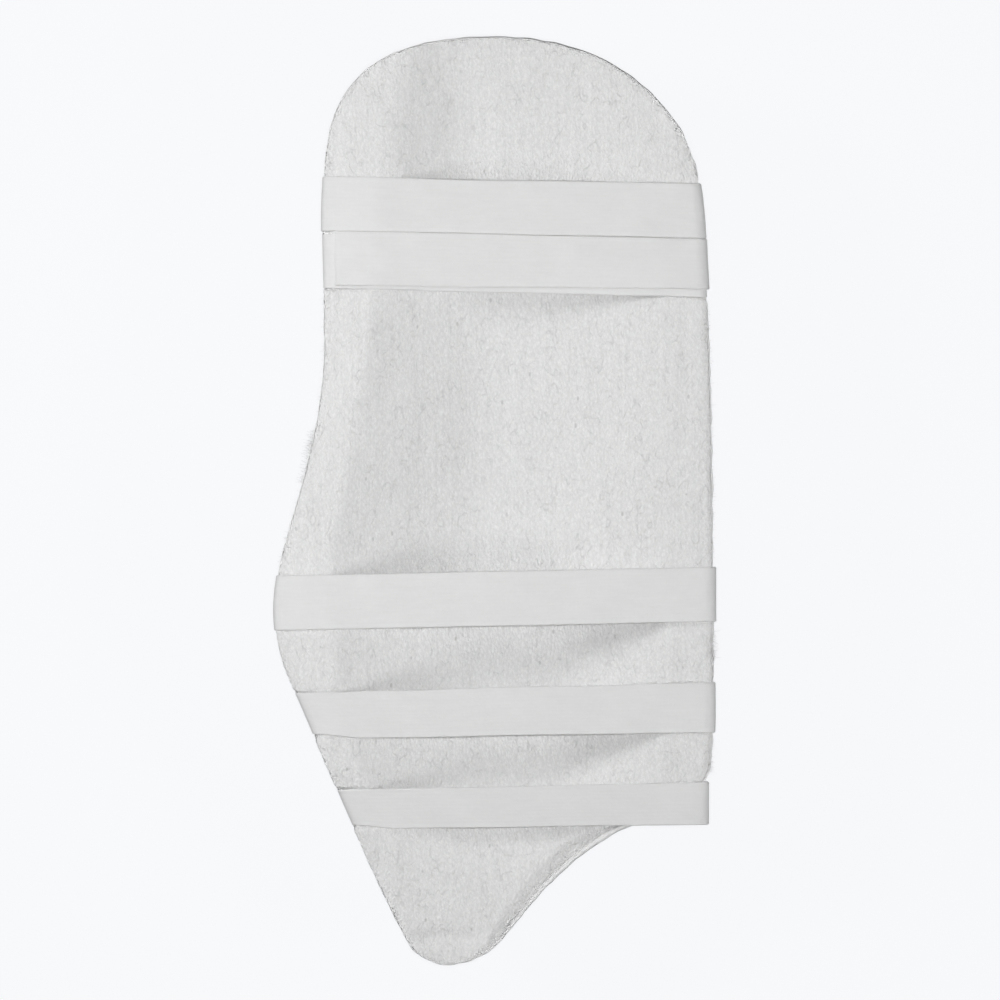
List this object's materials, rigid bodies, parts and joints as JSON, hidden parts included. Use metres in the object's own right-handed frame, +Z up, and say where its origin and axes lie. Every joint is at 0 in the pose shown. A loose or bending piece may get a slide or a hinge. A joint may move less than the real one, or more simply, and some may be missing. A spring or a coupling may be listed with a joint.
{
  "type": "cricket thigh pad",
  "caption": "Padded thigh guard for cricket: a long foam trough with a towelling inner face, a rolled edge and elastic straps that run across the hollow and round both edges.",
  "frame": {"origin": "on the floor under the middle of the pad, which lies on its outer face", "axes": "+X across the pad to the side away from the hip bulge, +Y up the leg towards the domed end, +Z up out of the towelling face"},
  "size_m": [0.2032, 0.4222, 0.0429],
  "materials": {
    "cover_cloth": "smooth white cover cloth",
    "towelling": "white terry towelling",
    "elastic": "white ribbed woven elastic"
  },
  "bodies": {
    "root": {"padded_cover": "cover_cloth", "towel_lining": "towelling", "upper_waist_strap": "elastic", "lower_waist_strap": "elastic", "upper_thigh_strap": "elastic", "middle_thigh_strap": "elastic", "lower_thigh_strap": "elastic"}
  },
  "joints": []
}
